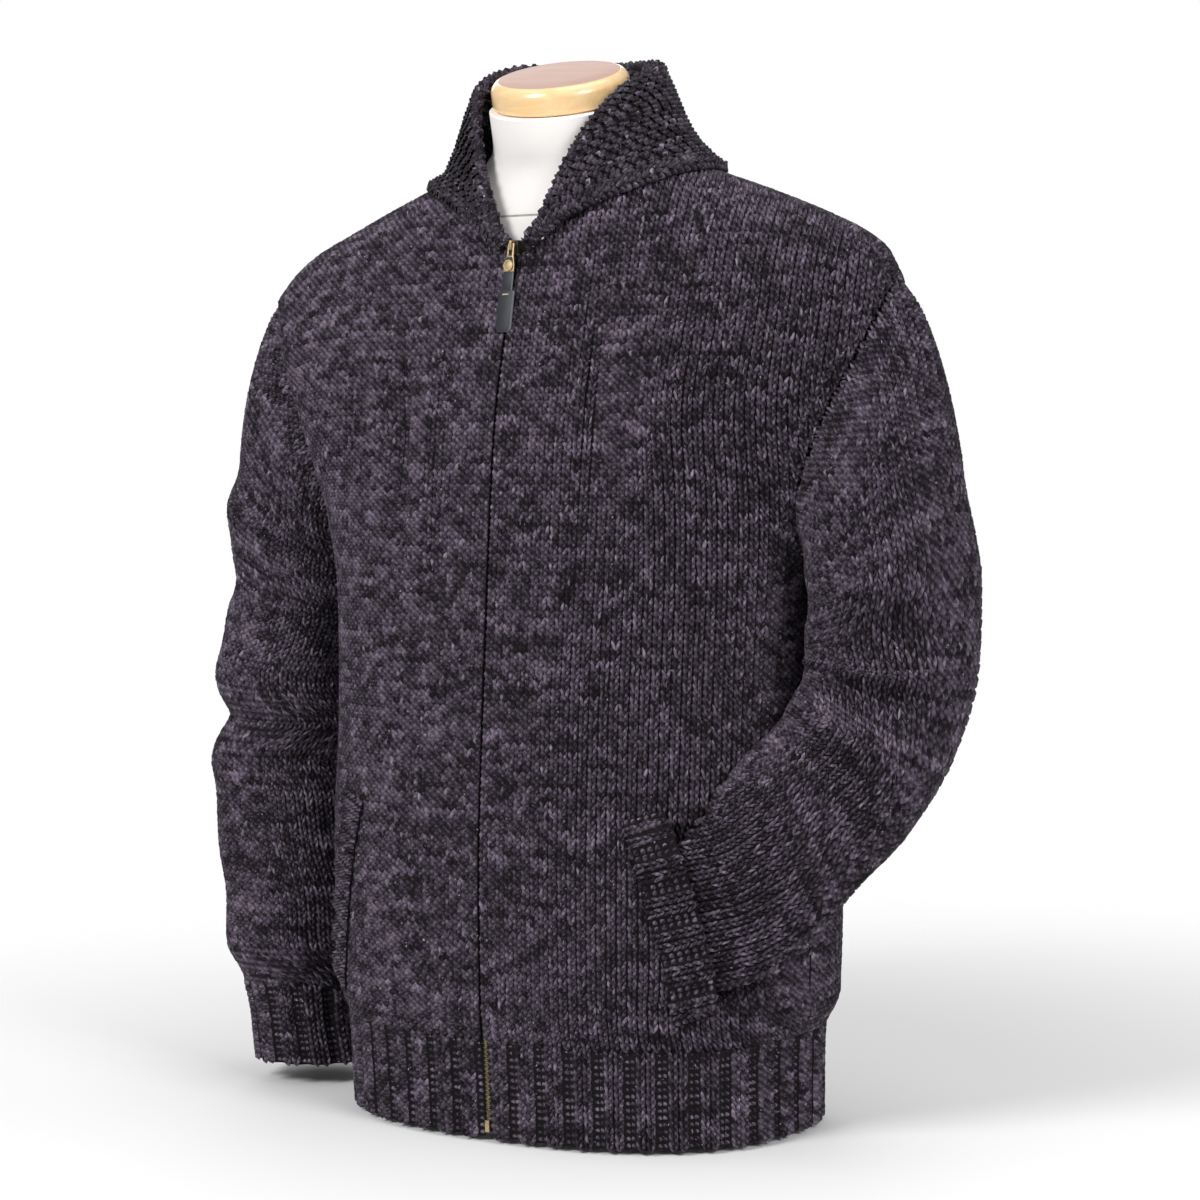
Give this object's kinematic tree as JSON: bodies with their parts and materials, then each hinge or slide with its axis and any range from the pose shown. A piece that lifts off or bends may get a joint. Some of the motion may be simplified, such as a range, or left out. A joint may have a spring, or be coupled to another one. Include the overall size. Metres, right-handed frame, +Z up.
{
  "type": "shawl collar sweater on a dress form",
  "caption": "Chunky knitted zip cardigan with a shawl collar, one cuff tucked in its pocket, worn on a limbless dress form with a wooden neck cap.",
  "frame": {"origin": "middle of the dress form's flat foot, which is what the part stands on", "axes": "+Z up through the neck; the front with the zip faces -Y; +X is the wearer's left, the side of the tucked cuff"},
  "size_m": [0.6747, 0.2669, 0.805],
  "materials": {
    "marl_knit": "chunky charcoal marl wool, knitted, with pale flecks",
    "zip_tape": "black woven tape",
    "antique_brass": "antique brass, lightly worn",
    "slate_leather": "matt slate black leather with a pale cut edge",
    "form_linen": "off-white cotton cover, smooth",
    "honey_wood": "satin varnished honey wood"
  },
  "bodies": {
    "garment": {"form_torso": "form_linen", "form_cap": "honey_wood", "front_left": "marl_knit", "front_right": "marl_knit", "back": "marl_knit", "hem_rib_left": "marl_knit", "hem_rib_right": "marl_knit", "hem_rib_back": "marl_knit", "sleeve_left": "marl_knit", "sleeve_right": "marl_knit", "cuff_left": "marl_knit", "cuff_right": "marl_knit", "collar": "marl_knit", "pocket_welt_left": "marl_knit", "pocket_welt_right": "marl_knit", "zip_tape_left": "zip_tape", "zip_tape_right": "zip_tape", "zip_chain": "antique_brass", "zip_box": "antique_brass", "zip_slider": "antique_brass"},
    "pull": {"pull_frame": "antique_brass", "pull_strap": "slate_leather", "pull_tab": "slate_leather"}
  },
  "joints": [
    {"name": "pull_hinge", "type": "hinge", "parent": "garment", "child": "pull", "pos_m": [0, -0.0722, 0.659], "axis": [-1, 0, 0], "range_deg": [0, 130]}
  ]
}
